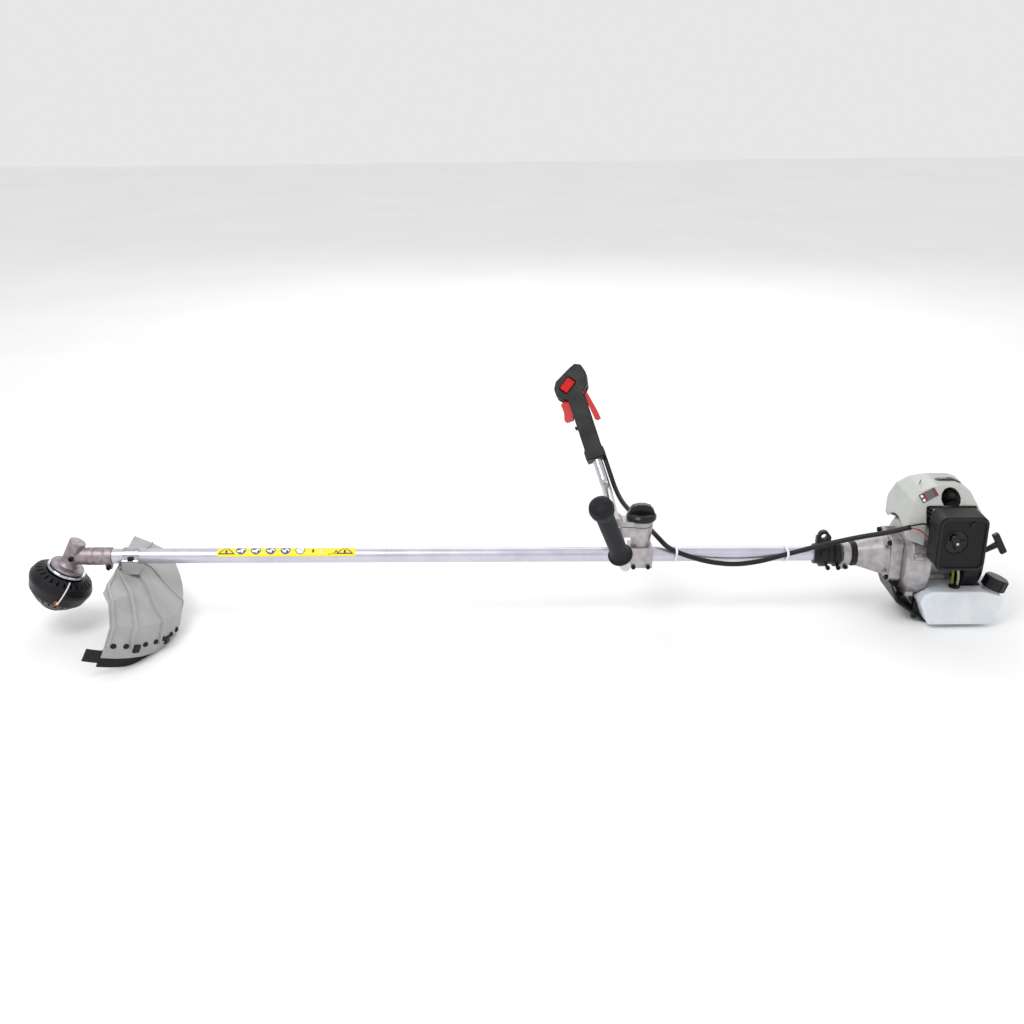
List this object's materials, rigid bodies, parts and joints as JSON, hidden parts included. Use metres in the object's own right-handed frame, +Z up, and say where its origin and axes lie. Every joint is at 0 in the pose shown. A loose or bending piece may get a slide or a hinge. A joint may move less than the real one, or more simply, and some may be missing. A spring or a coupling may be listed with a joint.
{
  "type": "brush cutter",
  "caption": "Petrol brush cutter: a long straight shaft with a geared trimmer head and guard, a U-shaped handlebar and a rear engine with fuel tank.",
  "frame": {"origin": "middle of the bounding box at its base, on the ground below the shaft", "axes": "+X along the shaft towards the engine, +Z up, +Y to the throttle handle, the far side from the air filter"},
  "size_m": [1.845, 0.719, 0.4337],
  "materials": {
    "bearing_steel": "ground",
    "black_plastic": "fine grain",
    "black_steel": "satin",
    "bolt_black": "oiled",
    "cast_aluminium": "as cast",
    "chrome": "polished",
    "copper": "polished",
    "cover_plastic": "satin",
    "grey_plastic": "satin",
    "line_green": "clear",
    "nylon": "satin",
    "polished_aluminium": "polished",
    "red_plastic": "gloss",
    "rubber": "matte",
    "silver_tube": "satin",
    "steel": "satin",
    "tank_plastic": "milky",
    "white_plastic": "satin"
  },
  "bodies": {
    "machine": {"bar_clamp_body": "cast_aluminium", "bar_clamp_cap": "cast_aluminium", "cable_conduit": "black_plastic", "cable_ties": "white_plastic", "carburettor": "cast_aluminium", "clutch_housing": "cast_aluminium", "crankcase": "cast_aluminium", "cylinder": "polished_aluminium", "damper_ring": "rubber", "engine_cover": "cover_plastic", "engine_stand": "black_plastic", "filter_cover": "black_plastic", "fuel_lines": "line_green", "fuel_tank": "tank_plastic", "gear_case": "cast_aluminium", "guard": "grey_plastic", "guard_clamp": "chrome", "guard_skirt": "black_plastic", "harness_clamp": "cast_aluminium", "line_knife": "black_steel", "main_tube": "silver_tube", "muffler": "steel", "rear_clamp": "cast_aluminium", "screws_and_bolts": "bolt_black", "shaft_bearings": "bearing_steel", "spark_plug_boot": "rubber", "starter_case": "black_plastic", "stop_wire": "red_plastic", "throttle_cable": "rubber", "tube_clamp_block": "cast_aluminium"},
    "drive_line": {"drive_shaft": "steel", "pinion_gear": "steel", "clutch_drum": "steel"},
    "cutter": {"output_gear": "steel", "output_shaft": "steel", "blade_adapter": "chrome", "trimmer_head_housing": "black_plastic", "line_eyelets": "copper", "cutting_line": "nylon", "spool_spring": "steel"},
    "bump": {"bump_button": "black_plastic"},
    "spool": {"line_spool": "black_plastic"},
    "handle": {"handlebar": "polished_aluminium", "left_grip": "rubber", "throttle_housing_inner": "black_plastic", "throttle_housing_outer": "black_plastic", "handle_pins": "steel"},
    "knob": {"clamp_knob": "black_plastic"},
    "trigger": {"throttle_trigger": "red_plastic"},
    "lockout": {"lockout_lever": "red_plastic"},
    "switch": {"stop_switch": "red_plastic"},
    "half_button": {"half_throttle_button": "black_plastic"},
    "choke": {"choke_dial": "black_plastic"},
    "cap": {"fuel_cap": "black_plastic"},
    "pull": {"pull_handle": "black_plastic"},
    "reel": {"starter_reel": "white_plastic"},
    "crank": {"crankshaft": "steel", "flywheel": "cast_aluminium", "clutch_shoes": "cast_aluminium"},
    "piston": {"piston": "polished_aluminium"}
  },
  "joints": [
    {"name": "drive_turn", "type": "hinge", "parent": "machine", "child": "drive_line", "pos_m": [-0.809, -0.017, 0.155], "axis": [1, 0, 0], "continuous": true},
    {"name": "cutter_turn", "type": "hinge", "parent": "machine", "child": "cutter", "pos_m": [-0.84, -0.017, 0.155], "axis": [0.4384, 0, 0.8988], "continuous": true},
    {"name": "bump_press", "type": "slide", "parent": "cutter", "child": "bump", "axis": [0.4384, 0, 0.8988], "range_m": [0, 0.006], "stiffness_N_per_m": 900, "springref_m": -0.006, "deforming": ["spool_spring"]},
    {"name": "spool_turn", "type": "hinge", "parent": "bump", "child": "spool", "pos_m": [-0.84, -0.017, 0.155], "axis": [0.4384, 0, 0.8988], "continuous": true},
    {"name": "handle_tilt", "type": "hinge", "parent": "machine", "child": "handle", "pos_m": [0.17602, -0.0158, 0.216], "axis": [0.0244, 0.9997, 0], "range_deg": [-15, 15], "deforming": ["cable_conduit"]},
    {"name": "knob_turn", "type": "hinge", "parent": "machine", "child": "knob", "pos_m": [0.225, -0.017, 0.235], "axis": [0, 0, 1], "continuous": true},
    {"name": "trigger_squeeze", "type": "hinge", "parent": "handle", "child": "trigger", "pos_m": [0.11278, 0.31112, 0.36646], "axis": [-0.2199, -0.816, 0.5346], "range_deg": [0, 20], "stiffness_Nm_per_rad": 0.6, "springref_deg": -17.19},
    {"name": "lockout_squeeze", "type": "hinge", "parent": "handle", "child": "lockout", "pos_m": [0.14236, 0.30926, 0.37578], "axis": [0.2199, 0.816, -0.5346], "range_deg": [0, 8], "stiffness_Nm_per_rad": 0.6, "springref_deg": -17.19},
    {"name": "switch_rock", "type": "hinge", "parent": "handle", "child": "switch", "pos_m": [0.10782, 0.31025, 0.39396], "axis": [-0.7612, 0.4862, 0.4292], "range_deg": [-8, 8]},
    {"name": "half_button_press", "type": "slide", "parent": "handle", "child": "half_button", "axis": [0.9364, -0.0229, 0.3502], "range_m": [0, 0.0015], "stiffness_N_per_m": 600, "springref_m": -0.003},
    {"name": "choke_turn", "type": "hinge", "parent": "machine", "child": "choke", "pos_m": [0.782, -0.148, 0.23], "axis": [0, 1, 0], "range_deg": [0, 90]},
    {"name": "cap_turn", "type": "hinge", "parent": "machine", "child": "cap", "pos_m": [0.891, -0.073, 0.099], "axis": [0.342, 0, 0.9397], "continuous": true},
    {"name": "starter_pull", "type": "slide", "parent": "machine", "child": "pull", "axis": [0.8746, 0, 0.4848], "range_m": [0, 0.7], "stiffness_N_per_m": 20, "springref_m": -0.3},
    {"name": "reel_turn", "type": "hinge", "parent": "machine", "child": "reel", "pos_m": [0.873, -0.017, 0.155], "axis": [-1, 0, 0], "range_deg": [-1, 1545]},
    {"name": "crank_turn", "type": "hinge", "parent": "machine", "child": "crank", "pos_m": [-0.809, -0.017, 0.155], "axis": [1, 0, 0], "continuous": true},
    {"name": "piston_travel", "type": "slide", "parent": "machine", "child": "piston", "axis": [0, 0, -1], "range_m": [0, 0.028]}
  ],
  "couplings": [
    {"joint": "cutter_turn", "follows": "drive_turn", "ratio": -0.73684},
    {"joint": "reel_turn", "follows": "starter_pull", "rad_per_m": 38.462}
  ]
}
